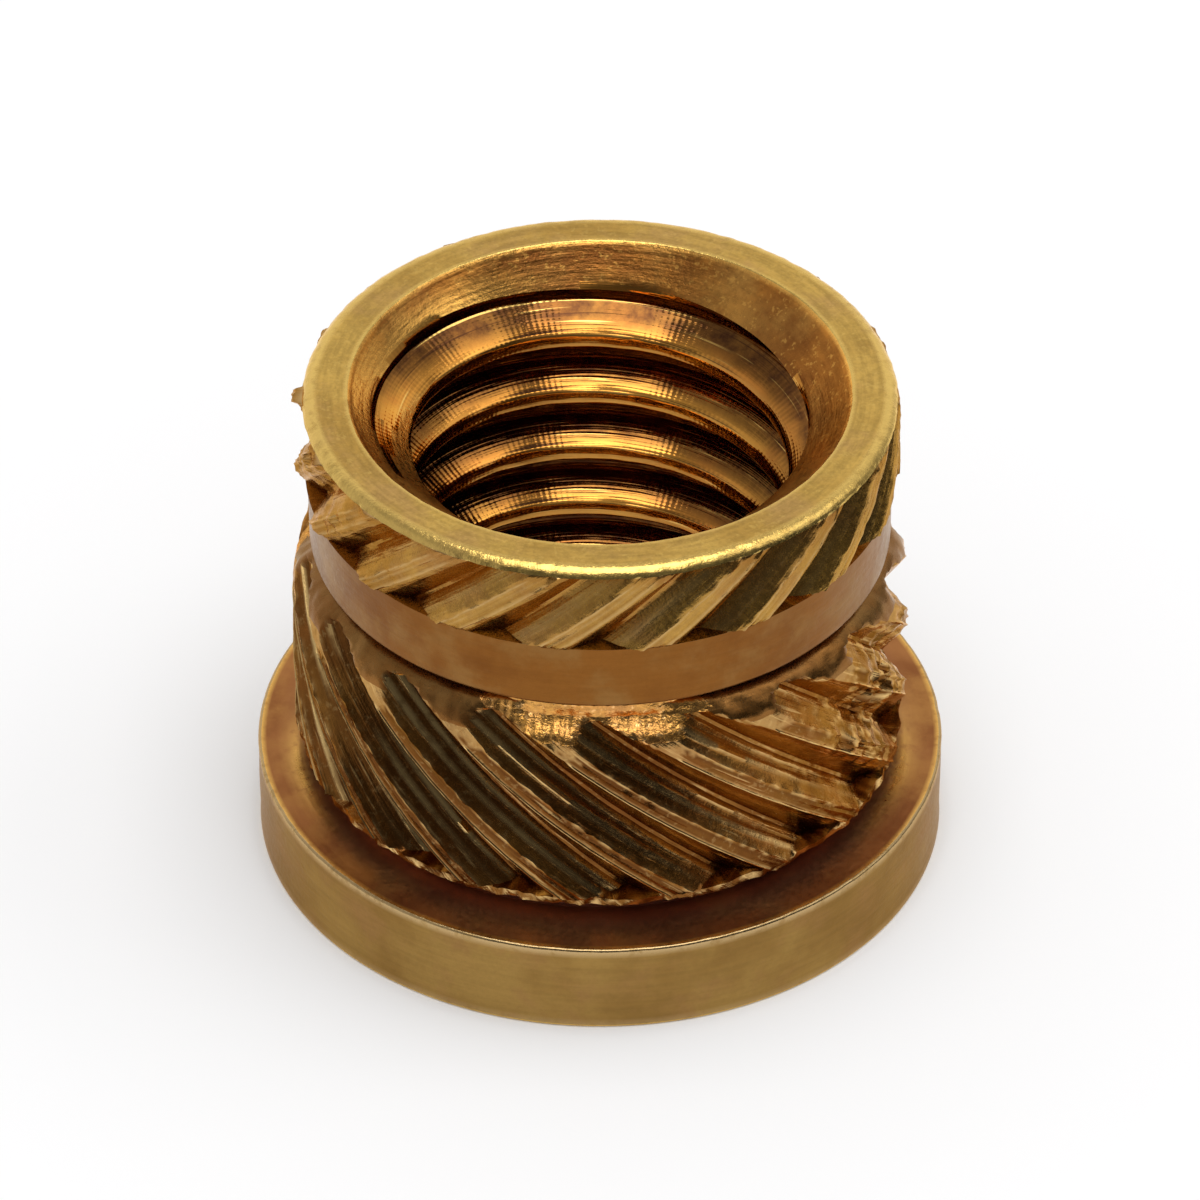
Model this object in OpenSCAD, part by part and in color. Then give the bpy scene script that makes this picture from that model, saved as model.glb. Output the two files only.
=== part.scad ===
// Threaded insert for plastics, turned from brass bar.
// One solid of revolution: a flat flange, a knurled barrel, a waist, a plain collar,
// a second knurled band of the opposite hand and a countersunk bore.
// It stands on its flange: origin at the middle of the flange's bottom face, +Z up the bore.

/* [Thread] */
// Nominal diameter of the internal thread
thread_d = 5; // [4.5:0.1:5.2]
// Pitch of the thread; the bore is plain, at the thread's diameter less one pitch
thread_pitch = 0.8; // [0.5:0.05:1]
// How much wider than the thread the countersink at the rim is, in diameter
rim_sink_over = 0.6; // [0.2:0.05:0.7]
// How much wider than the thread the countersink at the flange face is, in diameter
flange_sink_over = 0.4; // [0.2:0.05:0.7]

/* [Length] */
// Overall height
total_h = 5.96; // [5.6:0.02:9]
// Height of the plain groove between flange and barrel
relief_h = 0.24; // [0.15:0.01:0.4]
// Height of the straight part of the waist, between the barrel's shoulder and the plain collar
waist_h = 0.03; // [0.03:0.01:0.2]
// Height of the rounded shoulder, from the full width of the barrel up to the waist
shoulder_h = 0.58; // [0.3:0.02:0.8]
// Height of the plain collar between the two knurls, with the slope under it
collar_h = 0.86; // [0.6:0.02:1.1]
// Height of the upper knurled band
band_h = 1.1; // [0.8:0.02:1.4]
// Height of the plain sill under the upper band's grooves
sill_h = 0.03; // [0.02:0.01:0.06]
// Thickness of the lip that closes the upper band's grooves under the rim
lip_h = 0.1; // [0.06:0.01:0.16]

/* [Flange] */
// Flange diameter
flange_d = 7.8; // [7.5:0.1:9]
// Flange thickness
flange_t = 1.12; // [0.8:0.02:1.5]
// Broken edge of the flange
flange_edge = 0.03; // [0.02:0.01:0.15]
// Diameter of the plain groove above the flange
relief_d = 6.2; // [6:0.05:6.3]

/* [Knurls] */
// Number of teeth round each knurl
teeth = 18; // [15:1:20]
// Angle between the teeth and the axis, right-hand on the upper band, left-hand on the barrel
helix_angle = 50; // [35:1:55]
// Angle between the two flanks of a groove, measured across the groove
groove_angle = 90; // [75:1:95]
// Where the barrel's first groove starts, in degrees round from +X
barrel_start = 15; // [0:1:359]
// Where the upper band's first groove starts, in degrees round from +X
band_start = 10; // [0:1:359]
// Width of the flat at the bottom of a groove
groove_floor = 0.04; // [0.02:0.01:0.08]
// Barrel diameter over its teeth
barrel_d = 6.9; // [6.8:0.02:7.1]
// Depth of the barrel's grooves
barrel_groove = 0.28; // [0.2:0.01:0.3]
// Thickness of the thin rim of metal that closes the grooves at the barrel's foot
foot_h = 0.1; // [0.06:0.01:0.2]
// How far that rim stays below the tips of the teeth
foot_drop = 0.02; // [0.01:0.01:0.12]
// Upper band diameter over its teeth
band_d = 6.68; // [6.6:0.02:6.9]
// Depth of the upper band's grooves
band_groove = 0.25; // [0.15:0.01:0.28]
// How much smaller the upper band is at its top than at its foot, in diameter
band_taper = 0.06; // [0:0.01:0.2]

/* [Waist and rim] */
// Waist diameter
waist_d = 5.8; // [5.7:0.05:6]
// Diameter of the plain collar
collar_d = 6.5; // [6.3:0.02:6.6]
// Radius of the collar's lower edge
collar_edge = 0.06; // [0.02:0.01:0.1]
// Width of the bevel round the rim's outer edge
rim_bevel = 0.17; // [0.1:0.01:0.22]
// Height of that bevel
rim_bevel_h = 0.16; // [0.12:0.01:0.3]

/* [Hidden] */
$fn = 96;
TINY = 0.01;
// Facets of each helical groove, in degrees of turn
GROOVE_STEP = 4.5;
// How far a groove cutter stands out past the teeth
CUTTER_PROUD = 0.05;
ARC_STEPS = 6;
// Slope of the collar's underside, in degrees
UNDERCUT = 10;
// Slope of the step out to the upper band, in degrees
STEP_SLOPE = 30;

bore_d = thread_d - thread_pitch;
rim_mouth_d = thread_d + rim_sink_over;
flange_mouth_d = thread_d + flange_sink_over;
flange_r = flange_d / 2;
relief_r = relief_d / 2;
barrel_r = barrel_d / 2;
foot_r = barrel_r - foot_drop;
waist_r = waist_d / 2;
collar_r = collar_d / 2;
band_foot_r = band_d / 2;
band_top_r = band_foot_r - band_taper / 2;
rim_r = band_top_r - rim_bevel;

barrel_z = flange_t + relief_h;
band_z = total_h - band_h;
collar_z = band_z - collar_h;
// The shoulder rounds over from the tips of the teeth to the waist
shoulder_top_z = collar_z - waist_h;
shoulder_z = shoulder_top_z - shoulder_h;
band_step = (band_foot_r - collar_r) * tan(STEP_SLOPE);
collar_slope = (collar_r - collar_edge - waist_r) * tan(UNDERCUT);

// Arc about (cx, cz) from angle a0 to a1, rr wide and rz high
function arc(cx, cz, rr, rz, a0, a1) = [
    for (i = [0 : ARC_STEPS])
        let (a = a0 + (a1 - a0) * i / ARC_STEPS)
        [cx + rr * cos(a), cz + rz * sin(a)]
];

// Half section of the blank before knurling, as [radius, height]
function blank_profile() = concat(
    [
        [0, 0],
        [flange_r - flange_edge, 0],
        [flange_r, flange_edge],
        [flange_r, flange_t - flange_edge],
        [flange_r - flange_edge, flange_t],
        [relief_r, flange_t],
        [relief_r, barrel_z],
        [foot_r, barrel_z],
        [foot_r, barrel_z + foot_h],
        [barrel_r, barrel_z + foot_h]
    ],
    arc(waist_r, shoulder_z, barrel_r - waist_r, shoulder_h, 0, 90),
    [[waist_r, collar_z]],
    arc(collar_r - collar_edge, collar_z + collar_slope + collar_edge, collar_edge, collar_edge, -90, 0),
    [
        [collar_r, band_z],
        [band_foot_r, band_z + band_step],
        [band_top_r, total_h - rim_bevel_h],
        [rim_r, total_h],
        [0, total_h]
    ]
);

// Turn of a groove over height h on a cylinder of radius r
function turn(h, r) = h * tan(helix_angle) / (PI * r) * 180;

// One helical groove from z0 to z1, to be cut out of a cylinder of radius r.
// hand is 1 for grooves that climb to the right as seen from outside, -1 for the other hand.
module groove(z0, z1, r, depth, hand) {
    root_r = r - depth;
    tip_r = r + CUTTER_PROUD;
    flank = tan(groove_angle / 2) / cos(helix_angle);
    half_floor = groove_floor / 2 / cos(helix_angle);
    half_mouth = half_floor + (tip_r - root_r) * flank;
    turned = turn(z1 - z0, r);
    translate([0, 0, z0])
        linear_extrude(height = z1 - z0, twist = -hand * turned, slices = ceil(turned / GROOVE_STEP), $fn = 0)
            polygon([
                [root_r, -half_floor],
                [tip_r, -half_mouth],
                [tip_r, half_mouth],
                [root_r, half_floor]
            ]);
}

module knurl(z0, z1, r, depth, hand, start) {
    for (i = [0 : teeth - 1])
        rotate([0, 0, start + i * 360 / teeth])
            groove(z0, z1, r, depth, hand);
}

// Bore with a 90 degree countersink at each end
module bore() {
    rim_sink = (rim_mouth_d - bore_d) / 2;
    flange_sink = (flange_mouth_d - bore_d) / 2;
    translate([0, 0, -TINY])
        cylinder(d = bore_d, h = total_h + 2 * TINY);
    translate([0, 0, total_h - rim_sink])
        cylinder(d1 = bore_d, d2 = rim_mouth_d + 2 * TINY, h = rim_sink + TINY);
    translate([0, 0, -TINY])
        cylinder(d1 = flange_mouth_d + 2 * TINY, d2 = bore_d, h = flange_sink + TINY);
}

module insert_body() {
    color("#b08a3e")
        difference() {
            rotate_extrude()
                polygon(blank_profile());
            knurl(barrel_z + foot_h, shoulder_top_z, barrel_r, barrel_groove, -1, barrel_start);
            knurl(band_z + sill_h, total_h - lip_h, band_foot_r, band_groove, 1, band_start);
            bore();
        }
}

insert_body();
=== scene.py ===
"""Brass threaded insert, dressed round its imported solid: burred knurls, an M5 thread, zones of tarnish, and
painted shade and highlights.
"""

import math

import bmesh
import bpy
import numpy as np
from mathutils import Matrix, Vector, noise


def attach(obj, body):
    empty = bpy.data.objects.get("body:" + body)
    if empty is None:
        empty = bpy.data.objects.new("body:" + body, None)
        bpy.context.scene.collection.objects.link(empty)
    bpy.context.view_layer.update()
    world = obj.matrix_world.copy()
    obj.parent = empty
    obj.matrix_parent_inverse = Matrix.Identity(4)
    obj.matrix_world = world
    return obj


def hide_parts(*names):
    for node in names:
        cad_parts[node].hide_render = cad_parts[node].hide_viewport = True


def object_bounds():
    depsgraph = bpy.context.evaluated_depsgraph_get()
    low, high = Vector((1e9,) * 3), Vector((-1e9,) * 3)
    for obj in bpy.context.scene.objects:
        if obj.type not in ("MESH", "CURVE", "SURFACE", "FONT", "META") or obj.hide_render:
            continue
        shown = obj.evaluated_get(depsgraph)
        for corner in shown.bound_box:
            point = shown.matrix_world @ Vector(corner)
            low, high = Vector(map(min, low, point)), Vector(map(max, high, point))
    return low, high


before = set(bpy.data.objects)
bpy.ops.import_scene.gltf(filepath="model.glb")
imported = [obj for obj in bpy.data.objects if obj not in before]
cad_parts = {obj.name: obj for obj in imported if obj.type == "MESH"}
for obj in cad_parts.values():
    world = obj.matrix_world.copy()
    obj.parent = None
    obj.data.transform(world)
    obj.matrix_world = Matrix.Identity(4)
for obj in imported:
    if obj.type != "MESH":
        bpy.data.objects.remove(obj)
CAD_LOW, CAD_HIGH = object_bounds()

MM = 0.001
# Brings Blender's noise to about -1 to 1
NOISE_GAIN = 1.6

# ---------------------------------------------------------------- sizes, in millimetres
FLANGE_R = (CAD_HIGH.x - CAD_LOW.x) / 2 / MM
TOTAL_H = (CAD_HIGH.z - CAD_LOW.z) / MM
FLANGE_T = 1.12
FLANGE_EDGE = 0.035
RELIEF_R = 3.1
RELIEF_H = 0.24
FOOT_R = 3.43
FOOT_H = 0.1
BARREL_R = 3.45
BARREL_DEPTH = 0.28
SHOULDER_H = 0.58
WAIST_R = 2.9
WAIST_H = 0.03
COLLAR_R = 3.25
COLLAR_EDGE = 0.06
COLLAR_H = 0.86
BAND_H = 1.1
BAND_FOOT_R = 3.34
BAND_TOP_R = 3.31
BAND_DEPTH = 0.25
SILL_H = 0.03
LIP_H = 0.1
BEVEL_W = 0.18
BEVEL_H = 0.16
RIM_MOUTH_R = 2.8
FLANGE_MOUTH_R = 2.7
MOUTH_EDGE = 0.03
# How far outside a countersink's mouth its rounded edge is centred
MOUTH_EDGE_OUT = 0.012
# Depth at which the countersinks' cones start, under their rounded mouths, and at which the bore's mesh does
SINK_START = 0.045
BORE_TRIM = 0.08
# Slopes of the collar's underside and of the step out to the upper band, in degrees
UNDERCUT = 10
STEP_SLOPE = 30
# The shoulder rounds over by this power, 2 being an ellipse
SHOULDER_POWER = 2.3
# Where the knurl pressed the shoulder up, it is a ribbed chamfer: height of its foot over the shoulder's,
# fall of its radius over a height, its smallest radius, and the ribs that would go once round
CHAMFER_FROM = 0.25
CHAMFER_SLOPE = 1.15
PRESSED_R = 3.17
RIBS_ROUND = 110

# Heights up the insert
BARREL_Z = FLANGE_T + RELIEF_H
GROOVE_Z = BARREL_Z + FOOT_H
BAND_Z = TOTAL_H - BAND_H
COLLAR_Z = BAND_Z - COLLAR_H
SHOULDER_TOP_Z = COLLAR_Z - WAIST_H
SHOULDER_Z = SHOULDER_TOP_Z - SHOULDER_H
COLLAR_LOW_Z = COLLAR_Z + (COLLAR_R - COLLAR_EDGE - WAIST_R) * math.tan(math.radians(UNDERCUT))
SILL_Z = BAND_Z + SILL_H
BAND_STEP = (BAND_FOOT_R - COLLAR_R) * math.tan(math.radians(STEP_SLOPE))
LIP_Z = TOTAL_H - LIP_H
BEVEL_Z = TOTAL_H - BEVEL_H
# Where the barrel's grooves have run out into its shoulder
GROOVE_TOP_Z = SHOULDER_Z + 0.8 * SHOULDER_H
# Rings of the barrel: evenly spaced up to the shoulder, closer together as it rounds over
ROUND_OVER = np.sin(np.linspace(0, math.pi / 2, 19)[1:])
BARREL_ROWS = np.concatenate([np.linspace(GROOVE_Z, SHOULDER_Z, 40), SHOULDER_Z + SHOULDER_H * ROUND_OVER])

# Knurls: 18 teeth, of opposite hand on barrel and band
TEETH = 18
TOOTH = 360 / TEETH
HELIX = math.radians(50)
GROOVE_FLOOR = 0.04
BARREL_START = 15
BAND_START = 10

# Fine ridges that run along the grooves, in degrees from the groove's middle
BARREL_RIDGES = (-4.6, -1.6, 5.0, 10.3)
BAND_RIDGES = (-5.6, 3.5, 9.6)
# Column that follows a groove's edges, in degrees to either side of its middle, and the two places where they
# shine, at the left and the right as seen from outside
GROOVE_EDGE = 7.75
SHINE_LEFT = -7.8
SHINE_RIGHT = 7.95

# Thread M5 x 0.8, right-hand
PITCH = 0.8
CREST_R = 2.1
ROOT_R = 2.5
# Height of a crest's middle on the back wall
CREST_Z_BACK = 3.44
# Where a crest's flat ends and a root's starts, in pitches from the crest's middle
CREST_HALF = 0.1
ROOT_FROM = 0.4375

# Columns across one groove and the land beside it, in degrees from the groove's middle
TOOTH_COLUMNS = np.array([
    -8.0, -7.7, -7.4, -6.6, -5.6, -4.6, -3.6, -2.6, -1.6, -0.6, 0.5, 2.0,
    3.5, 5.0, 6.2, 7.1, 7.5, 7.75, 8.0, 8.3, 8.9, 9.6, 10.3, 11.2,
])
COLUMNS = TEETH * len(TOOTH_COLUMNS)
TOOTH_OF_COLUMN = np.repeat(np.arange(TEETH), len(TOOTH_COLUMNS))
OFFSET = np.tile(TOOTH_COLUMNS, TEETH)

# The materials, in the order of insert_materials
FACE, SIDE, LEDGE, COLLAR, SINK, KNURL, BAND, LIT_SHOULDER, THREAD = range(9)


# ---------------------------------------------------------------- shape helpers
def turn(height, radius):
    """Degrees that a knurl turns over a height."""
    return np.degrees(height * math.tan(HELIX) / radius)


def degrees_from(angle, middle):
    """Degrees from a middle to an angle, the shorter way round."""
    return (angle - middle + 180) % 360 - 180


def near(value, middle, width):
    """1 where a value is at the middle, falling off smoothly to 0 over about twice the width."""
    return np.exp(-((value - middle) / width) ** 2)


def bump_between(x, low, high):
    """A smooth step from 0 at low to 1 at high."""
    t = np.clip((x - low) / (high - low), 0, 1)
    return t * t * (3 - 2 * t)


def rough(angle, radius, height, scale, seed):
    """Smooth noise, about -1 to 1, at points in degrees and millimetres; scale is the size of a lump."""
    a = np.radians(angle)
    points = np.stack(np.broadcast_arrays(radius * np.cos(a), radius * np.sin(a), height), -1) / scale
    shift = Vector((seed * 7.31, seed * 3.17, seed * 5.77))
    flat = points.reshape(-1, 3)
    found = [noise.noise(Vector(p) + shift) for p in flat]
    return np.array(found).reshape(points.shape[:-1]) * NOISE_GAIN


def streaks(along, key, scale, seed):
    """Noise that runs along a groove: key picks the line, along is the distance on it."""
    along, key = np.broadcast_arrays(along, key)
    found = [noise.noise(Vector((a / scale, k * 1.7 + seed, seed * 2.3)))
             for a, k in zip(along.ravel(), key.ravel())]
    return np.array(found).reshape(along.shape) * NOISE_GAIN


def groove_drop(offset, crest_r, depth):
    """How far the surface lies under the tips of the teeth, at an angle from the groove's middle."""
    across = np.abs(offset) * math.pi / 180 * crest_r * math.cos(HELIX) - GROOVE_FLOOR / 2
    return np.clip(depth - np.maximum(across, 0), 0, depth)


def groove_lines(offsets, height, seed):
    """Fine ridges left along a groove, 0 to 1 on the columns nearest to each offset, fading in and out."""
    found = np.zeros(COLUMNS)
    for k, offset in enumerate(offsets):
        key = TOOTH_OF_COLUMN * 5.0 + k * 1.7
        strength = np.clip(0.7 + streaks(height / math.cos(HELIX), key, 1.6, seed + k), 0, 1)
        found = found + near(OFFSET, offset, 0.25) * strength
    return found


def torn(angle, height):
    """1 in the patch at the right of the barrel where the knurl tore the metal, 0 outside."""
    middle, width = -24, 17
    middle_z, width_z = 2.7, 0.75
    return np.exp(-((degrees_from(angle, middle) / width) ** 2) - ((height - middle_z) / width_z) ** 2)


def shoulder_shine(angle):
    """1 where the knurl left the shoulder ribbed and it carries a painted highlight, at the front and in two
    places behind.
    """
    shine = 0
    for middle, width in ((-91, 24), (60, 18), (160, 22)):
        shine = shine + np.exp(-((degrees_from(angle, middle) / width) ** 4))
    return shine


def sink_radius(height):
    """Radius of the countersinks' cones at a height, the wider of the two."""
    upper = RIM_MOUTH_R - (TOTAL_H - height)
    lower = FLANGE_MOUTH_R - height
    return np.maximum(upper, lower)


def arc_points(centre_r, centre_z, size_r, size_z, start, end, steps):
    """Points of an arc in the half section, as (radius, height)."""
    for i in range(steps + 1):
        a = math.radians(start + (end - start) * i / steps)
        yield centre_r + size_r * math.cos(a), centre_z + size_z * math.sin(a)


def barrel_angles(height):
    """Angles of the columns on the barrel's grooves, which climb to the left."""
    start = BARREL_START + TOOTH_OF_COLUMN * TOOTH + OFFSET
    return start - turn(height - GROOVE_Z, BARREL_R)


def band_angles(height, shift):
    """Angles of the columns on the band's grooves, which climb to the right; shift is in whole teeth."""
    start = BAND_START + (TOOTH_OF_COLUMN + shift) * TOOTH + OFFSET
    return start + turn(height - SILL_Z, BAND_FOOT_R)


class Skin:
    """The outside of the insert, a stack of rings of COLUMNS points each."""

    def __init__(self):
        self.angle = []
        self.radius = []
        self.height = []
        self.soot_and_shade = []
        self.wear_and_sheen = []
        self.material = []

    def ring(self, angle, radius, height, material, soot_and_shade=0.0, wear_and_sheen=0.0):
        """Adds a ring; material is that of the strip between it and the ring before."""
        for kept, value in ((self.angle, angle), (self.radius, radius), (self.height, height),
                            (self.soot_and_shade, soot_and_shade), (self.wear_and_sheen, wear_and_sheen), (self.material, material)):
            kept.append(np.broadcast_to(np.asarray(value, float), (COLUMNS,)).copy())

    def points(self):
        """All points of the rings, in millimetres."""
        angle, radius = np.radians(np.array(self.angle)), np.array(self.radius)
        height = np.array(self.height)
        return np.stack([radius * np.cos(angle), radius * np.sin(angle), height], -1).reshape(-1, 3)

    def strips(self):
        """The quads between the rings, and the material of each."""
        column = np.arange(COLUMNS)
        following = (column + 1) % COLUMNS
        faces, material = [], []
        for i in range(len(self.angle) - 1):
            lower, upper = i * COLUMNS, (i + 1) * COLUMNS
            strip = np.stack([lower + column, lower + following, upper + following, upper + column], -1)
            faces += strip.tolist()
            material += self.material[i + 1].astype(int).tolist()
        return faces, material

    def ends(self):
        """The points of the first and of the last ring, by number."""
        column = np.arange(COLUMNS)
        return column.tolist(), ((len(self.angle) - 1) * COLUMNS + column).tolist()


# ---------------------------------------------------------------- outside
def flange(skin, angles):
    """From the lower countersink's edge out over the flange's foot, up its side and in to the relief."""
    skin.ring(angles, FLANGE_MOUTH_R - SINK_START, SINK_START, SINK)
    edge_r = FLANGE_MOUTH_R + MOUTH_EDGE_OUT
    for r, z in arc_points(edge_r, MOUTH_EDGE, MOUTH_EDGE, MOUTH_EDGE, -135, -90, 3):
        skin.ring(angles, r, z, FACE)
    for r in (2.9, 3.15, 3.4, 3.65):
        skin.ring(angles, r, 0.0, FACE)
    inner_r = FLANGE_R - FLANGE_EDGE
    for r, z in arc_points(inner_r, FLANGE_EDGE, FLANGE_EDGE, FLANGE_EDGE, -90, 0, 3):
        skin.ring(angles, r, z, FACE, wear_and_sheen=0.5)
    for z in np.linspace(0.12, FLANGE_T - 0.12, 6):
        dents = 0.004 * rough(angles, FLANGE_R, z, 0.5, 3)
        skin.ring(angles, FLANGE_R - 0.004 + dents, z, SIDE)
    nick = 0.006 * rough(angles, FLANGE_R, FLANGE_T, 0.16, 4)
    # Painted highlight along the flange's upper rounded edge
    for r, z in arc_points(inner_r, FLANGE_T - FLANGE_EDGE, FLANGE_EDGE, FLANGE_EDGE, 0, 90, 4):
        skin.ring(angles, r + np.minimum(nick, 0), z, SIDE, wear_and_sheen=1.0)

    # Painted highlight: an arc of gold on the ledge at either side, 14 degrees in front of the X axis. Painted
    # shade darkens the ledge towards the barrel, most of all in the relief under it.
    sides = np.degrees(np.arcsin(np.sin(np.radians(angles)))) + 14
    fillet = 0.05
    for r in np.linspace(3.8, RELIEF_R + fillet, 7):
        side_glow = np.exp(-((sides / 15) ** 2) - ((r - 3.48) / 0.1) ** 2)
        skin.ring(angles, r, FLANGE_T - 0.004 + 0.003 * rough(angles, r, FLANGE_T, 0.4, 5), LEDGE,
                  soot_and_shade=0.35 * bump_between(FLANGE_R - r, 0.2, 0.7), wear_and_sheen=side_glow)
    for r, z in arc_points(RELIEF_R + fillet, FLANGE_T + fillet, fillet, fillet, 270, 180, 3):
        skin.ring(angles, r, z, LEDGE, soot_and_shade=0.8)
    skin.ring(angles, RELIEF_R, BARREL_Z - 0.04, LEDGE, soot_and_shade=1.0)
    skin.ring(angles, RELIEF_R + 0.03, BARREL_Z, LEDGE, soot_and_shade=1.0)


def foot_lift(angles):
    """How far the foot rim wanders up and down."""
    return 0.02 * rough(angles, FOOT_R, 0.0, 0.2, 23)


def foot_rim(skin, angles):
    """The thin, lumpy and chipped rim of metal that closes the barrel's grooves at their foot."""
    for height, grow in ((BARREL_Z + 0.002, -0.05), (BARREL_Z + 0.012, 0.0), (BARREL_Z + 0.05, 0.0),
                         (GROOVE_Z - 0.012, -0.004)):
        lumps = 0.022 * rough(angles, FOOT_R, height, 0.09, 21)
        lumps = lumps + 0.02 * rough(angles, FOOT_R, height, 0.28, 22)
        chipped = 0.8 * bump_between(rough(angles, FOOT_R, height, 0.15, 34), -0.1, 0.5)
        skin.ring(angles, FOOT_R - 0.02 + grow + lumps, height + foot_lift(angles), KNURL,
                  soot_and_shade=0.5, wear_and_sheen=chipped)


def barrel_radius(angles, height):
    """Radius of the toothed barrel, with the depth below its teeth as a share of the whole groove."""
    drop = groove_drop(OFFSET, BARREL_R, BARREL_DEPTH)
    depth = drop / BARREL_DEPTH
    damage = torn(angles, height)
    along = height / math.cos(HELIX)
    line = TOOTH_OF_COLUMN * 31.0 + np.round(OFFSET * 2)
    flank = np.minimum(depth, 1 - depth) * 4
    radius = BARREL_R - drop
    radius += 0.007 * streaks(along, line, 1.2, 11) * np.clip(flank, 0.25, 1)
    radius += 0.02 * groove_lines(BARREL_RIDGES, height, 15)
    radius += (0.003 + 0.045 * damage) * rough(angles, BARREL_R, height, 0.09, 12)
    radius += (0.004 + 0.07 * damage) * rough(angles, BARREL_R, height, 0.22, 13)
    jags = np.maximum(rough(angles, BARREL_R, height, 0.08, 14), -0.4)
    radius += near(OFFSET, -7.7, 0.4) * (0.01 + (0.015 + 0.04 * damage) * jags)
    radius += near(OFFSET, 7.9, 0.3) * 0.02
    return np.minimum(radius, BARREL_R + 0.05), depth


def shoulder_share(height):
    """How far up the shoulder a height lies: 0 at its foot and below, 1 at its top."""
    return max(height - SHOULDER_Z, 0) / SHOULDER_H


def shoulder_radius(angles, height, shine):
    """Radius of the barrel before its grooves: straight, then rounded over, but chamfered where it shines."""
    up = shoulder_share(height)
    rounded = WAIST_R + (BARREL_R - WAIST_R) * max(1 - up ** SHOULDER_POWER, 0) ** (1 / SHOULDER_POWER)
    chamfer = BARREL_R - 0.02 - CHAMFER_SLOPE * np.maximum(height - SHOULDER_Z - CHAMFER_FROM, 0)
    chamfer = np.maximum(chamfer, PRESSED_R)
    blank = rounded + (chamfer - rounded) * np.clip(shine, 0, 1) * bump_between(up, 0.45, 0.7)
    ridges = 0.012 * np.sin(np.radians(angles) * RIBS_ROUND + 2 * rough(angles, blank, height, 0.5, 27))
    ridges = ridges * min(2 * up, 1) * shine
    lumps = 0.014 * rough(angles, blank, height, 0.16, 25) if height < BARREL_ROWS[-1] else 0
    return blank + ridges + lumps


def barrel_marks(angles, height, depth):
    """Soot and painted shade, wear and painted highlights of the knurl: dark grooves and lands, bright edges
    and ridges, and pits and flecks in the torn patch.
    """
    damage = torn(angles, height)
    left_side = near(degrees_from(angles, -150), 0, 45)
    right_side = bump_between(np.cos(np.radians(angles)), -0.1, 0.5)

    # Painted shade: the lands are dulled and the grooves dark, both more so at the left than at the right, as
    # seen from the camera
    lands = 0.65 * bump_between(np.abs(OFFSET), 8.2, 8.9) + 0.5 * bump_between(OFFSET, 10.0, 11.2)
    lands = lands * (1.35 - 0.35 * right_side)
    grooves = (0.8 - 0.45 * right_side) * bump_between(depth, 0.05, 0.5)
    pits = 1.2 * damage * bump_between(rough(angles, BARREL_R, height, 0.12, 29), 0.2, 0.4)
    soot_and_shade = np.maximum(np.maximum(grooves, lands * (1 - damage)), pits)

    flecks = damage * bump_between(rough(angles, BARREL_R, height, 0.1, 30), 0.35, 0.55)
    broken = bump_between(rough(angles, BARREL_R, height, 0.12, 33), -0.1, 0.4)
    # Painted highlights along the grooves' edges, and on the fine ridges more so at the front left
    edges = near(OFFSET, SHINE_RIGHT, 0.3) + 0.7 * broken * near(OFFSET, SHINE_LEFT, 0.3)
    # The last ridge lies on the land and doesn't shine
    lines = (0.55 + 0.9 * left_side) * groove_lines(BARREL_RIDGES[:-1], height, 15)
    return soot_and_shade, np.maximum(np.maximum(edges, flecks), lines)


def barrel(skin):
    """The toothed barrel and its shoulder; returns the angles at its top."""
    for height in BARREL_ROWS:
        angles = barrel_angles(height)
        shine = shoulder_shine(angles)
        toothed, depth = barrel_radius(angles, height)
        # The grooves run out into the shoulder
        toothed = toothed + 0.2 * bump_between(height, GROOVE_TOP_Z - 0.03, GROOVE_TOP_Z)
        blank = shoulder_radius(angles, height, shine)
        on_blank = (toothed > blank) & (height > SHOULDER_Z)
        radius = np.where(on_blank, blank, toothed)

        # The grooves' left edges wander sideways
        uneven = 0.4 * (0.5 + 0.5 * rough(angles, BARREL_R, height, 0.7, 35)) + 0.7 * torn(angles, height)
        wander = near(OFFSET, -GROOVE_EDGE, 0.6) * uneven
        shown = angles + wander * rough(angles, BARREL_R, height, 0.11, 24)
        lift = 0.0
        if height == BARREL_ROWS[0]:
            lift = foot_lift(angles)
        elif height == BARREL_ROWS[-1]:
            lift = 0.05 * np.clip(shine, 0, 1)

        # Painted highlight: where the shoulder shines it takes the bright brass, elsewhere the collar's darker
        # one
        lit_patch = shine + 0.3 * rough(angles, BARREL_R, height, 0.3, 28) > 0.5
        smooth = np.where(lit_patch, LIT_SHOULDER, COLLAR)
        material = np.where(on_blank & (shoulder_share(height) > 0.5), smooth, KNURL)
        soot_and_shade, wear_and_sheen = barrel_marks(angles, height, depth)
        skin.ring(shown, radius, height + lift, material,
                  soot_and_shade=np.where(on_blank, 0.05, soot_and_shade), wear_and_sheen=np.where(on_blank, 0.3, wear_and_sheen))
    return barrel_angles(SHOULDER_TOP_Z)


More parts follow.
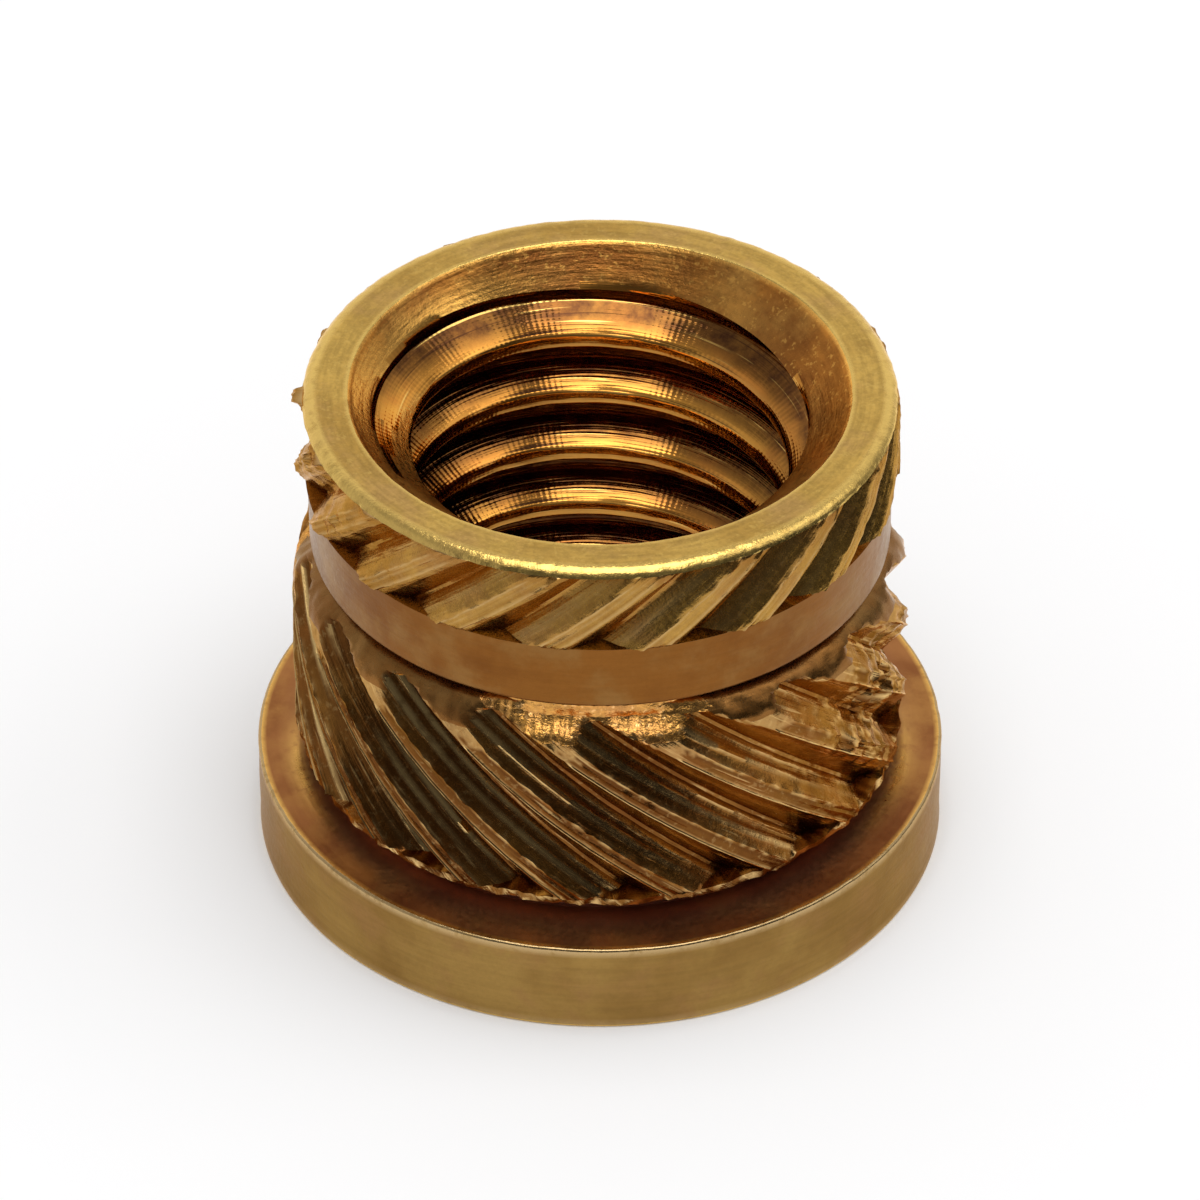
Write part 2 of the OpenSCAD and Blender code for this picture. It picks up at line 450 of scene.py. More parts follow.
def collar(skin, low_angles, high_angles):
    """The waist, the collar and the sill under the band, turning from the barrel's columns to the band's."""
    def angles_at(height):
        share = bump_between(height, SHOULDER_TOP_Z, BAND_Z)
        return low_angles + (high_angles - low_angles) * share

    # Painted shade in the waist under the collar
    skin.ring(angles_at(SHOULDER_TOP_Z), WAIST_R - 0.01, SHOULDER_TOP_Z + 0.01, LIT_SHOULDER, soot_and_shade=0.6)
    skin.ring(angles_at(COLLAR_Z), WAIST_R, COLLAR_Z, COLLAR, soot_and_shade=0.8)
    skin.ring(angles_at(COLLAR_LOW_Z), COLLAR_R - COLLAR_EDGE, COLLAR_LOW_Z, COLLAR, soot_and_shade=0.1)
    edge_z = COLLAR_LOW_Z + COLLAR_EDGE
    for r, z in arc_points(COLLAR_R - COLLAR_EDGE, edge_z, COLLAR_EDGE, COLLAR_EDGE, -75, 0, 5):
        skin.ring(angles_at(z), r, z, COLLAR)
    for z in np.linspace(edge_z, BAND_Z, 13)[1:]:
        angles = angles_at(z)
        waves = 0.005 * rough(angles, COLLAR_R, z, 0.6, 31) + 0.002 * rough(angles, COLLAR_R, z, 0.15, 32)
        skin.ring(angles, COLLAR_R + waves, z, COLLAR)


def band_blank(height):
    """Radius of the band over its teeth, with the step at its foot and the rounded bevel at the rim."""
    if height < BAND_Z + BAND_STEP:
        return COLLAR_R + (height - BAND_Z) / BAND_STEP * (BAND_FOOT_R - COLLAR_R)
    if height < BEVEL_Z:
        share = (height - BAND_Z - BAND_STEP) / (BEVEL_Z - BAND_Z - BAND_STEP)
        return BAND_FOOT_R + (BAND_TOP_R - BAND_FOOT_R) * share
    up = min((height - BEVEL_Z) / BEVEL_H, 1)
    return BAND_TOP_R - BEVEL_W * (1 - math.sqrt(1 - up * up))


def band_radius(angles, height, drop, lines):
    """Radius of the toothed band, burred at the left, where the tips of its teeth are folded over."""
    blank = band_blank(height)
    burred = near(angles % 360, 175, 52)
    line = TOOTH_OF_COLUMN * 37.0 + np.round(OFFSET * 2)
    toothed = BAND_FOOT_R - drop + 0.008 * streaks(height / math.cos(HELIX), line, 0.8, 41)
    toothed = toothed + 0.014 * lines
    toothed = toothed + 0.03 * burred * rough(angles, BAND_FOOT_R, height, 0.13, 47)

    tips = blank + 0.006 * rough(angles, blank, height, 0.09, 42)
    tips = tips + 0.008 * rough(angles, blank, height, 0.3, 43)
    tips = tips + 0.045 * burred * np.minimum(rough(angles, blank, height, 0.14, 48), 0.4)
    low_end = 1 - bump_between(height, SILL_Z, SILL_Z + 0.3)
    jags = np.maximum(rough(angles, blank, height, 0.1, 44), -0.3)
    ragged = near(OFFSET, GROOVE_EDGE, 0.5) + near(OFFSET, -GROOVE_EDGE, 0.5)
    tips = tips + 0.01 * lines + ragged * (0.008 + (0.02 + 0.05 * low_end) * jags)

    folded = bump_between(np.abs(OFFSET), 7.2, 8.3)
    folded = folded * bump_between(rough(angles, blank, height, 0.34, 49), -0.2, 0.5)
    return np.minimum(toothed, tips) + 0.085 * burred * folded


def band(skin, shift):
    """The upper knurled band up to the lip under the rim."""
    drop = groove_drop(OFFSET, BAND_FOOT_R, BAND_DEPTH)
    first = band_angles(SILL_Z, shift)
    skin.ring(first, COLLAR_R + 0.03, SILL_Z - 0.004, COLLAR, soot_and_shade=0.1, wear_and_sheen=0.4)
    rows = np.concatenate([np.linspace(SILL_Z, BEVEL_Z, 22), np.linspace(BEVEL_Z, LIP_Z, 3)[1:]])
    for height in rows:
        angles = band_angles(height, shift)
        lines = groove_lines(BAND_RIDGES, height, 46)
        radius = band_radius(angles, height, drop, lines)
        # The grooves' right edges wander sideways
        wander = 0.35 * near(OFFSET, GROOVE_EDGE, 0.6)
        shown = angles + wander * rough(angles, band_blank(height), height, 0.13, 45)
        # Painted shade deep in the grooves and under the lip; painted highlight along the grooves' edges and
        # ridges, none under the lip
        under_lip = bump_between(height, BEVEL_Z - 0.08, BEVEL_Z + 0.02)
        soot_and_shade = np.maximum(0.45 * bump_between(drop / BAND_DEPTH, 0.6, 1.0), 0.4 * under_lip)
        wear_and_sheen = 0.8 * near(OFFSET, SHINE_RIGHT, 0.3) + 0.8 * near(OFFSET, SHINE_LEFT, 0.3) + 0.4 * lines
        skin.ring(shown, radius, height, BAND, soot_and_shade=soot_and_shade, wear_and_sheen=wear_and_sheen * (1 - under_lip))


def rim(skin, shift):
    """The lip over the grooves, the rounded bevel, the rim's face and its inner edge."""
    angles = band_angles(LIP_Z, shift)
    # Painted highlight over the bevel, and painted shade on the ring just over the lip
    for over_lip in (0.006, 0.025, 0.045, 0.065, 0.082, 0.095):
        height = LIP_Z + over_lip
        radius = band_blank(height) + 0.008 * rough(angles, BAND_TOP_R, height, 0.12, 51)
        lowest = over_lip < 0.01
        skin.ring(angles, radius, height, BAND if lowest else FACE, soot_and_shade=0.5 if lowest else 0, wear_and_sheen=1.0)
    outer = BAND_TOP_R - BEVEL_W
    for r in (outer - 0.01, outer - 0.05, 3.02, 2.93, RIM_MOUTH_R + 0.05):
        waves = 0.0015 * rough(angles, r, TOTAL_H, 0.3, 52)
        skin.ring(angles, r, TOTAL_H - 0.002 + waves, FACE)
    # Painted highlight along the mouth's rounded edge
    edge_r = RIM_MOUTH_R + MOUTH_EDGE_OUT
    for r, z in arc_points(edge_r, TOTAL_H - MOUTH_EDGE, MOUTH_EDGE, MOUTH_EDGE, 90, 135, 3):
        nick = 0.004 * rough(angles, RIM_MOUTH_R, z, 0.15, 53)
        skin.ring(angles, r + nick, z, FACE, wear_and_sheen=0.8)
    skin.ring(angles, RIM_MOUTH_R - SINK_START, TOTAL_H - SINK_START, SINK)


def outside():
    """All rings of the outside, from the flange's mouth to the rim's."""
    skin = Skin()
    foot_angles = barrel_angles(GROOVE_Z)
    flange(skin, foot_angles)
    foot_rim(skin, foot_angles)
    low_angles = barrel(skin)
    # The band's columns move by whole teeth, so that the collar between the knurls twists as little as it can
    barrel_end = BARREL_START - turn(SHOULDER_TOP_Z - GROOVE_Z, BARREL_R)
    shift = -round((BAND_START - barrel_end) / TOOTH)
    collar(skin, low_angles, band_angles(BAND_Z, shift))
    band(skin, shift)
    rim(skin, shift)
    return skin


# ---------------------------------------------------------------- bore
def thread_radius(angle, height):
    """Radius of the tapped bore, with its crests rounded off a little at their edges."""
    phase = (height - CREST_Z_BACK) / PITCH - (angle - 90) / 360
    off = np.abs(phase - np.round(phase))
    flank = np.clip((off - CREST_HALF) / (ROOT_FROM - CREST_HALF), 0, 1)
    round_off = 0.02 * near(off, CREST_HALF, 0.03)
    return CREST_R + (ROOT_R - CREST_R) * flank + round_off


def trim(bm, height, normal):
    """Cuts off what lies past a height, on the side that the normal points to."""
    geometry = list(bm.verts) + list(bm.edges) + list(bm.faces)
    bmesh.ops.bisect_plane(bm, geom=geometry, dist=1e-7, plane_co=(0, 0, height), plane_no=normal,
                           clear_outer=True)


def end_ring(bm, height):
    """The numbers of the points on the edge at a height, in order round the axis."""
    ring = sorted((math.atan2(v.co.y, v.co.x) % (2 * math.pi), v.index)
                  for v in bm.verts if v.is_boundary and abs(v.co.z - height) < 1e-4)
    return [index for _, index in ring]


def bore():
    """The thread as a spiral strip, trimmed square at both ends; returns its points, faces and end rings."""
    columns = 200
    # Rows over one pitch, as shares of it from crest to crest
    steps = np.array([0, 0.05, 0.08, CREST_HALF, 0.12, 0.15, 0.2, 0.28, 0.36, 0.43])
    across = np.concatenate([steps, [0.5], 1 - steps[:0:-1]])
    rows_a_turn = len(across)
    turns = math.ceil(TOTAL_H / PITCH) + 2
    low_cut, high_cut = BORE_TRIM, TOTAL_H - BORE_TRIM

    index = np.arange(turns * rows_a_turn + 1)
    base = (index // rows_a_turn + across[index % rows_a_turn]) * PITCH
    start = CREST_Z_BACK - PITCH * (math.ceil(CREST_Z_BACK / PITCH) + 1.25)
    angle = np.arange(columns) * 360 / columns
    height = start + base[:, None] + (angle[None, :] / 360) * PITCH
    along = np.broadcast_to(angle, height.shape)
    cut, sink = thread_radius(along, height), sink_radius(height)
    marks = 0.004 * rough(along, CREST_R, height * 6, 0.35, 61)
    marks = marks + 0.004 * rough(along, CREST_R, height, 0.2, 62)
    edge = 0.004 * rough(along, CREST_R, height, 0.25, 63)
    radius = np.where(cut + edge > sink, cut + marks, sink + 0.3 * marks)

    bm = bmesh.new()
    a = np.radians(angle)
    grid = [[bm.verts.new((radius[i, j] * math.cos(a[j]), radius[i, j] * math.sin(a[j]), height[i, j]))
             for j in range(columns)] for i in index]
    for i in index[:-1]:
        for j in range(columns - 1):
            bm.faces.new((grid[i][j], grid[i + 1][j], grid[i + 1][j + 1], grid[i][j + 1]))
        # The last column joins the first one a turn higher
        above = i + rows_a_turn
        if above + 1 < len(index):
            bm.faces.new((grid[i][-1], grid[i + 1][-1], grid[above + 1][0], grid[above][0]))
    trim(bm, low_cut, (0, 0, -1))
    trim(bm, high_cut, (0, 0, 1))
    bm.verts.ensure_lookup_table()
    bm.verts.index_update()
    points = np.array([v.co for v in bm.verts])
    faces = [[v.index for v in f.verts] for f in bm.faces]
    ends = end_ring(bm, low_cut), end_ring(bm, high_cut)
    bm.free()
    return points, faces, ends


def bore_marks(points):
    """Which of the bore's points lie on a countersink; with darker patches on the countersinks and painted
    shade in the thread, and painted highlights on both.
    """
    radii = np.hypot(points[:, 0], points[:, 1])
    turned = np.degrees(np.arctan2(points[:, 1], points[:, 0]))
    cones = sink_radius(points[:, 2])
    on_cone = np.abs(radii - cones) < 0.006

    # Painted glow on the countersinks, at the back left and at the left, with a little at the back right
    painted_glow = near(turned, 138, 26) + 0.3 * near(turned, 52, 14)
    painted_glow = painted_glow * (1 - bump_between(radii, CREST_R + 0.35, RIM_MOUTH_R - 0.05))
    painted_glow = painted_glow + 0.7 * near(np.abs(turned), 180, 22)
    # Darker patches on the countersinks, at the right and in two narrow streaks at the back
    darker_patches = 0.55 * near(turned, 14, 40) + 0.4 * near(turned, 82, 10)
    darker_patches = darker_patches + 0.45 * near(turned, 104, 6)

    # How deep in the thread a point lies: 0 on a crest, 1 at a root
    valley = np.clip((radii - CREST_R) / (ROOT_R - CREST_R), 0, 1)
    # Painted shade in the thread: deep in its valleys, faintly on its crests' flats, at the right and towards
    # the top, none near the countersinks
    thread_shade = np.maximum(bump_between(valley, 0.12, 0.42), 0.3 * (1 - bump_between(valley, 0.02, 0.05)))
    thread_shade = np.maximum(thread_shade, 0.5 * near(turned, 16, 24))
    thread_shade = np.maximum(thread_shade, 0.14 * bump_between(points[:, 2], 4.5, 5.1))
    thread_shade = thread_shade * bump_between(radii - cones, 0.01, 0.12)
    # Painted highlight along the crests
    crest_sheen = 1 - bump_between(valley, 0.0, 0.15)
    return on_cone, np.where(on_cone, darker_patches, thread_shade), np.where(on_cone, painted_glow, crest_sheen)


def zip_rings(points, one, other):
    """Triangles between two rings of points, each in order round the axis."""
    def angles(ring):
        return [math.atan2(points[i][1], points[i][0]) % (2 * math.pi) for i in ring]

    def from_lowest(ring):
        found = angles(ring)
        k = found.index(min(found))
        return ring[k:] + ring[:k]

    one, other = from_lowest(list(one)), from_lowest(list(other))
    at_one = angles(one) + [2 * math.pi + angles(one)[0]]
    at_other = angles(other) + [2 * math.pi + angles(other)[0]]
    i = j = 0
    made = []
    while i < len(one) or j < len(other):
        if j == len(other) or (i < len(one) and at_one[i + 1] <= at_other[j + 1]):
            made.append((one[i % len(one)], one[(i + 1) % len(one)], other[j % len(other)]))
            i += 1
        else:
            made.append((one[i % len(one)], other[(j + 1) % len(other)], other[j % len(other)]))
            j += 1
    return made


# ---------------------------------------------------------------- the whole insert
def face_outwards(mesh):
    """Turns all faces of a closed mesh to face out of it."""
    made = bmesh.new()
    made.from_mesh(mesh)
    bmesh.ops.recalc_face_normals(made, faces=made.faces)
    made.to_mesh(mesh)
    made.free()


def build_insert():
    """One closed mesh of the whole insert."""
    skin = outside()
    inner_points, inner_faces, inner_ends = bore()
    on_cone, inner_soot_and_shade, inner_wear_and_sheen = bore_marks(inner_points)
    outer_points = skin.points()
    points = np.concatenate([outer_points, inner_points])
    base = len(outer_points)

    faces, material = skin.strips()
    faces += [[base + v for v in f] for f in inner_faces]
    material += [SINK if on_cone[f].all() else THREAD for f in inner_faces]
    for outer_ring, inner_ring in zip(skin.ends(), inner_ends):
        strips = zip_rings(points, outer_ring, [base + v for v in inner_ring])
        faces += [list(t) for t in strips]
        material += [SINK] * len(strips)

    mesh = bpy.data.meshes.new("insert_skin")
    mesh.from_pydata((points * MM).tolist(), [], faces)
    mesh.polygons.foreach_set("material_index", material)
    # Painted shade and painted highlights: the first attribute darkens grooves, recesses and undercuts as well
    # as marking soot, the second lightens edges, ridges and crests as well as marking wear
    soot_and_shade = np.concatenate([np.array(skin.soot_and_shade).ravel(), inner_soot_and_shade])
    wear_and_sheen = np.concatenate([np.array(skin.wear_and_sheen).ravel(), inner_wear_and_sheen])
    for name, values in (("soot_and_shade", soot_and_shade), ("wear_and_sheen", wear_and_sheen)):
        mesh.attributes.new(name, "FLOAT", "POINT").data.foreach_set("value", values.astype(np.float32))
    face_outwards(mesh)
    mesh.polygons.foreach_set("use_smooth", [True] * len(mesh.polygons))
    mesh.set_sharp_from_angle(angle=math.radians(38))
    mesh.update()
    piece = bpy.data.objects.new("insert_skin", mesh)
    bpy.context.collection.objects.link(piece)
    return piece


# ---------------------------------------------------------------- materials
class Graph:
    """A node tree, with short calls for the nodes used here."""

    def __init__(self, owner):
        owner.use_nodes = True
        self.tree = owner.node_tree
        self.tree.nodes.clear()

    def node(self, kind, settings=None, **inputs):
        made = self.tree.nodes.new(kind)
        for key, value in (settings or {}).items():
            setattr(made, key, value)
        for key, value in inputs.items():
            self.feed(made.inputs[key.replace("_", " ")], value)
        return made

    def feed(self, socket, value):
        if isinstance(value, bpy.types.NodeSocket):
            self.tree.links.new(value, socket)
        elif isinstance(value, bpy.types.Node):
            self.tree.links.new(value.outputs[0], socket)
        else:
            socket.default_value = value

    def math(self, operation, *values):
        made = self.tree.nodes.new("ShaderNodeMath")
        made.operation = operation
        for socket, value in zip(made.inputs, values):
            self.feed(socket, value)
        return made.outputs[0]

    def total(self, *values):
        found = values[0]
        for value in values[1:]:
            found = self.math("ADD", found, value)
        return found

    def product(self, *values):
        found = values[0]
        for value in values[1:]:
            found = self.math("MULTIPLY", found, value)
        return found

    def mix(self, share, first, second):
        made = self.tree.nodes.new("ShaderNodeMix")
        made.data_type = "RGBA"
        self.feed(made.inputs[0], share)
        for socket, value in ((made.inputs[6], first), (made.inputs[7], second)):
            self.feed(socket, (*value, 1) if isinstance(value, tuple) else value)
        return made.outputs[2]

    def ramp(self, value, low, high, out_low=0.0, out_high=1.0):
        made = self.tree.nodes.new("ShaderNodeMapRange")
        made.interpolation_type = "SMOOTHSTEP"
        for socket, given in zip(made.inputs, (value, low, high, out_low, out_high)):
            self.feed(socket, given)
        return made.outputs[0]

    def noise(self, vector, scale, detail=3.0, roughness=0.6):
        return self.node("ShaderNodeTexNoise", None, Vector=vector, Scale=scale, Detail=detail,
                         Roughness=roughness).outputs[0]


def cut_space(graph, cut):
    """Coordinates that are short across a cut and long along it, the place in millimetres and its angle.

    cut is "lathe", "thread", or a knurl's signed radius: plus for the upper band, minus for the barrel.
    """
    place = graph.node("ShaderNodeTexCoord").outputs["Object"]
    solid = graph.node("ShaderNodeVectorMath", {"operation": "SCALE"}, Vector=place)
    solid.inputs["Scale"].default_value = 1 / MM
    x, y, z = graph.node("ShaderNodeSeparateXYZ", None, Vector=solid).outputs
    radius = graph.math("SQRT", graph.total(graph.product(x, x), graph.product(y, y)))
    angle = graph.math("ARCTAN2", y, x)
    if cut == "lathe":
        across, up, along = radius, z, graph.product(angle, 0.3)
    elif cut == "thread":
        # A quarter turn brings the crest to the back, and half a pitch more the seam into the root
        phase = 0.75 - CREST_Z_BACK / PITCH
        turns = graph.total(graph.product(z, 1 / PITCH), phase, graph.product(angle, -0.5 / math.pi))
        across, up = radius, graph.product(graph.math("FRACT", turns), PITCH)
        along = graph.product(angle, 0.045)
    else:
        start = graph.total(angle, graph.product(z, -math.tan(HELIX) / cut))
        across = graph.product(graph.math("COSINE", start), abs(cut))
        up = graph.product(graph.math("SINE", start), abs(cut))
        along = graph.product(z, 0.1)
    made = graph.node("ShaderNodeCombineXYZ", None, X=across, Y=along, Z=up)
    return made.outputs[0], solid.outputs[0], angle


def brass(name, light, dark, tint, roughness, cut="lathe", lines=0.2, grain=0.12, streak=0.0,
          soot_and_shade_colour=(0.05, 0.022, 0.009), soot_and_shade_share=0.9, wear_and_sheen_colour=(0.72, 0.5, 0.2), wear_and_sheen_share=0.3,
          speckle=0.0, ticks=0.0, edge_tint=(1, 0.75, 0.5)):
    """Brass with tool marks, grain, patches of tarnish, soot and painted shade, wear and painted highlights,
    and ticks of chatter.

    light, dark and tint are the metal's own colours; the mesh's two attributes say where the other two show:
    the dark colour is painted shade as well as soot, the bright one painted highlight as well as wear.
    """
    material = bpy.data.materials.new(name)
    graph = Graph(material)
    marks, solid, angle = cut_space(graph, cut)
    scored = graph.noise(marks, 16.0, 2.5)
    fine = graph.noise(solid, 16.0, 3.0, 0.7)
    colour = graph.mix(graph.ramp(graph.noise(solid, 0.55, 4.0), 0.4, 0.62), light, dark)
    colour = graph.mix(graph.ramp(graph.noise(solid, 1.3, 5.0), 0.45, 0.7), colour, tint)
    shade = graph.total(graph.product(scored, 0.5), graph.product(fine, 0.5))
    grime = tuple(0.35 * c for c in dark)
    colour = graph.mix(graph.ramp(shade, 0.3, 0.7, grain, 0.0), colour, grime)

    soot_and_shade = graph.node("ShaderNodeAttribute", {"attribute_name": "soot_and_shade"}).outputs["Fac"]
    wear_and_sheen = graph.node("ShaderNodeAttribute", {"attribute_name": "wear_and_sheen"}).outputs["Fac"]
    blotch = graph.ramp(graph.noise(solid, 5.0, 4.0, 0.65), 0.25, 0.75, 0.7, 1.0)
    # Painted shade, with soot: the dark colour where the mesh marks grooves, recesses and undercuts
    dirt_and_shade = graph.product(soot_and_shade, blotch, soot_and_shade_share)
    colour = graph.mix(dirt_and_shade, colour, soot_and_shade_colour)
    if streak:
        scratches = graph.ramp(scored, 0.6, 0.68, 0.0, streak)
        colour = graph.mix(scratches, colour, wear_and_sheen_colour)
        colour = graph.mix(graph.ramp(scored, 0.4, 0.32, 0.0, streak), colour, soot_and_shade_colour)
    # Painted highlight, with wear: the bright colour where the mesh marks edges, ridges and crests
    broken = graph.ramp(graph.noise(solid, 7.0, 3.0), 0.3, 0.5, 0.5, 1.0)
    edge = graph.product(wear_and_sheen, broken)
    colour = graph.mix(graph.product(edge, wear_and_sheen_share), colour, wear_and_sheen_colour)
    if speckle:
        spots = graph.ramp(graph.noise(solid, 11.0, 2.0, 0.8), 0.56, 0.68)
        colour = graph.mix(graph.product(spots, speckle), colour, wear_and_sheen_colour)

    smoothest = 0.09
    polished = graph.product(edge, -0.14)
    uneven = graph.ramp(fine, 0.25, 0.75, roughness - 0.05, roughness + 0.06)
    roughened = graph.math("MAXIMUM", smoothest, graph.total(uneven, polished))
    height = graph.total(graph.product(scored, lines), graph.product(fine, grain))
    if ticks:
        wobble = graph.product(graph.noise(marks, 2.5, 2.0), 5.0)
        ticks_round = 208.0
        wave = graph.math("SINE", graph.total(graph.product(angle, ticks_round), wobble))
        height = graph.total(height, graph.product(wave, ticks))
    bump = graph.node("ShaderNodeBump", None, Height=height, Distance=0.012 * MM, Strength=1.0)
    shader = graph.node("ShaderNodeBsdfPrincipled", None, Base_Color=colour, Roughness=roughened, Normal=bump)
    shader.inputs["Metallic"].default_value = 1.0
    shader.inputs["Specular Tint"].default_value = (*edge_tint, 1)
    graph.node("ShaderNodeOutputMaterial", None, Surface=shader)
    return material


def insert_materials():
    """One brass for each kind of surface, in the order of FACE to THREAD."""
    return (
        brass("brass_face", (0.62, 0.39, 0.093), (0.5, 0.295, 0.067), (0.52, 0.31, 0.098), 0.34, grain=0.5,
              wear_and_sheen_colour=(0.78, 0.53, 0.15), wear_and_sheen_share=0.7, speckle=0.2, edge_tint=(1, 0.9, 0.75)),
        # Painted shade: the flange's side is a darker copy of the face's brass
        brass("brass_side", (0.33, 0.2, 0.057), (0.25, 0.14, 0.038), (0.3, 0.165, 0.055), 0.36, grain=0.25,
              wear_and_sheen_colour=(0.5, 0.35, 0.17), wear_and_sheen_share=0.8, edge_tint=(0.84, 0.7, 0.58)),
        brass("brass_ledge", (0.4, 0.17, 0.06), (0.27, 0.1, 0.036), (0.42, 0.195, 0.06), 0.4,
              lines=0.12, grain=0.1, soot_and_shade_colour=(0.42, 0.19, 0.15), wear_and_sheen_colour=(0.75, 0.43, 0.11),
              wear_and_sheen_share=1.0),
        brass("brass_collar", (0.225, 0.087, 0.017), (0.175, 0.062, 0.012), (0.25, 0.12, 0.033), 0.32,
              lines=0.2, grain=0.2, soot_and_shade_colour=(0.12, 0.045, 0.015), wear_and_sheen_share=0.2,
              edge_tint=(1, 0.95, 0.85)),
        brass("brass_sink", (0.66, 0.27, 0.048), (0.25, 0.085, 0.02), (0.66, 0.33, 0.075), 0.32,
              lines=0.5, grain=0.45, soot_and_shade_colour=(0.16, 0.055, 0.014), wear_and_sheen_colour=(1.0, 0.54, 0.12),
              wear_and_sheen_share=1.0, speckle=0.3),
        brass("brass_knurl", (0.31, 0.14, 0.03), (0.16, 0.06, 0.013), (0.27, 0.10, 0.022), 0.22,
              cut=-BARREL_R, lines=0.65, grain=0.3, streak=0.4, soot_and_shade_colour=(0.11, 0.04, 0.01),
              soot_and_shade_share=0.85, wear_and_sheen_colour=(0.7, 0.47, 0.19), wear_and_sheen_share=1.0, speckle=0.15),
        brass("brass_band", (0.44, 0.245, 0.055), (0.3, 0.145, 0.033), (0.36, 0.18, 0.05), 0.26,
              cut=BAND_FOOT_R, lines=0.7, grain=0.4, streak=0.2, soot_and_shade_colour=(0.27, 0.105, 0.022),
              wear_and_sheen_colour=(0.5, 0.33, 0.14), wear_and_sheen_share=0.8, speckle=0.1),
        # Painted highlight: the shining patches of the shoulder, a much brighter copy of the collar's brass
        brass("brass_shoulder_lit", (0.79, 0.39, 0.075), (0.63, 0.265, 0.05), (0.7, 0.3, 0.085), 0.24,
              lines=0.1, grain=0.9, soot_and_shade_colour=(0.25, 0.09, 0.03), wear_and_sheen_colour=(0.95, 0.56, 0.22),
              wear_and_sheen_share=0.5, speckle=0.6, ticks=0.2),
        brass("brass_thread", (0.8, 0.37, 0.065), (0.56, 0.235, 0.042), (0.72, 0.28, 0.052), 0.1,
              cut="thread", lines=0.7, grain=0.02, streak=0.9, soot_and_shade_colour=(0.075, 0.028, 0.013),
              soot_and_shade_share=1.0, wear_and_sheen_colour=(0.95, 0.6, 0.17), wear_and_sheen_share=0.2, ticks=0.03),
    )


# ---------------------------------------------------------------- studio
def studio_camera():
    """The photograph's direction and distance, aimed at the middle of the insert."""
    elevation = math.radians(38.37)
    distance = 93.4 * MM
    lens_of_photo = 113
    closer = 2.2
    target = Vector((0, 0, TOTAL_H / 2 * MM))
    back = Vector((0, -math.cos(elevation), math.sin(elevation)))
    data = bpy.data.cameras.new("camera")
    data.lens = lens_of_photo * closer
    data.clip_start = 0.001
    data.clip_end = 5
    camera = bpy.data.objects.new("camera", data)
    bpy.context.collection.objects.link(camera)
    camera.location = target + back * distance
    camera.rotation_mode = "QUATERNION"
    camera.rotation_quaternion = (-back).to_track_quat("-Z", "Y")
    bpy.context.scene.camera = camera


def softbox(name, place, size, radiance):
    """A rectangle of light that leans sideways to face the insert; radiance 1 is the white of paper."""
    data = bpy.data.lights.new(name, "AREA")
    data.shape = "RECTANGLE"
    data.size, data.size_y = size
    data.energy = radiance * math.pi * size[0] * size[1]
    lamp = bpy.data.objects.new(name, data)
    lamp.location = place
    lamp.rotation_euler = (0, math.atan2(place[0], place[2]), 0)
    bpy.context.collection.objects.link(lamp)


def studio_lights():
    """A strong softbox overhead and, beside it, a weaker one at the right."""
    softbox("softbox_top", (0.012, -0.025, 0.25), (0.175, 0.2), 3.0)
    softbox("softbox_right", (0.156, 0.02, 0.2), (0.08, 0.13), 1.4)


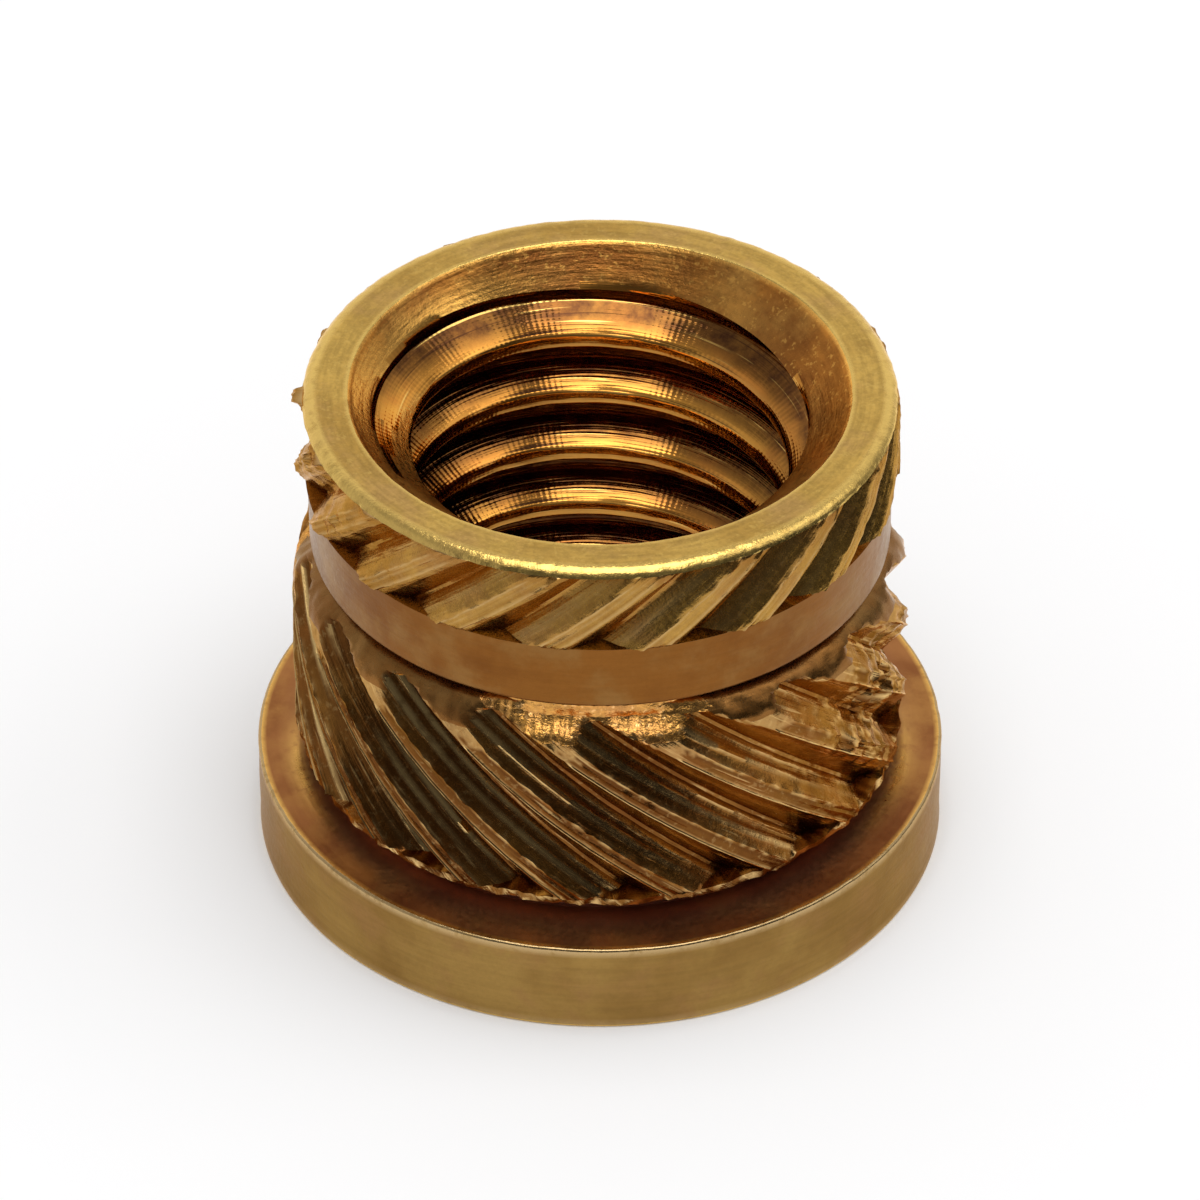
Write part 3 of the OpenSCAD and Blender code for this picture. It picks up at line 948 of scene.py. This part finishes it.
def studio_floor():
    """White paper that shows no more than the insert's soft shadow."""
    mesh = bpy.data.meshes.new("floor")
    half = 1.2
    corners = [(-half, -half, 0), (half, -half, 0), (half, half, 0), (-half, half, 0)]
    mesh.from_pydata(corners, [], [(0, 1, 2, 3)])
    floor = bpy.data.objects.new("floor", mesh)
    bpy.context.collection.objects.link(floor)
    paper = bpy.data.materials.new("floor_paper")
    graph = Graph(paper)
    path = graph.node("ShaderNodeLightPath").outputs
    glow = graph.total(graph.product(path["Is Glossy Ray"], 0.2), graph.product(path["Is Camera Ray"], 0.04))
    shader = graph.node("ShaderNodeBsdfPrincipled", None, Base_Color=(0.93, 0.93, 0.935, 1), Roughness=0.9,
                        Emission_Color=(1, 1, 1, 1), Emission_Strength=glow)
    shader.inputs["Specular IOR Level"].default_value = 0.0
    graph.node("ShaderNodeOutputMaterial", None, Surface=shader)
    mesh.materials.append(paper)


def studio_world():
    """White to the camera, dimmer as diffuse light, and a pattern that only the metal mirrors.

    The pattern is bright behind the insert, dark on the camera's side, grey overhead and paler at the sides.
    """
    world = bpy.data.worlds.new("studio")
    bpy.context.scene.world = world
    graph = Graph(world)
    direction = graph.node("ShaderNodeTexCoord").outputs["Generated"]
    x, y, z = graph.node("ShaderNodeSeparateXYZ", None, Vector=direction).outputs
    behind = graph.node("ShaderNodeVectorMath", {"operation": "DOT_PRODUCT"}, Vector=direction)
    behind.inputs[1].default_value = (0, 0.92, -0.38)
    back = graph.ramp(behind.outputs["Value"], -0.35, 0.5, 0.1, 1.0)
    back = graph.product(back, graph.ramp(x, 0.55, 0.85, 1.0, 0.4))
    ceiling = graph.ramp(z, 0.6, 0.85, 0.0, 0.42)
    left = graph.ramp(graph.product(x, -1.0), 0.4, 0.8, 0.0, 0.6)
    right = graph.product(graph.ramp(x, 0.62, 0.8), graph.ramp(z, 0.4, 0.52), graph.ramp(y, -0.35, -0.15))
    level = graph.math("MAXIMUM", back, ceiling)
    mirrored = graph.math("MAXIMUM", level, graph.math("MAXIMUM", left, right))
    path = graph.node("ShaderNodeLightPath").outputs
    plain = graph.math("ADD", graph.product(path["Is Diffuse Ray"], -0.45), 1.0)
    strength = graph.total(graph.product(path["Is Glossy Ray"], mirrored),
                           graph.product(graph.math("SUBTRACT", 1.0, path["Is Glossy Ray"]), plain))
    background = graph.node("ShaderNodeBackground", None, Color=(1, 1, 1, 1), Strength=strength)
    graph.node("ShaderNodeOutputWorld", None, Surface=background)


# ---------------------------------------------------------------- the scene
def main():
    bpy.context.scene.view_settings.view_transform = "Standard"
    studio_camera()
    studio_world()
    studio_lights()
    studio_floor()
    insert = build_insert()
    for material in insert_materials():
        insert.data.materials.append(material)
    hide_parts("insert_body")
    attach(insert, "root")


main()
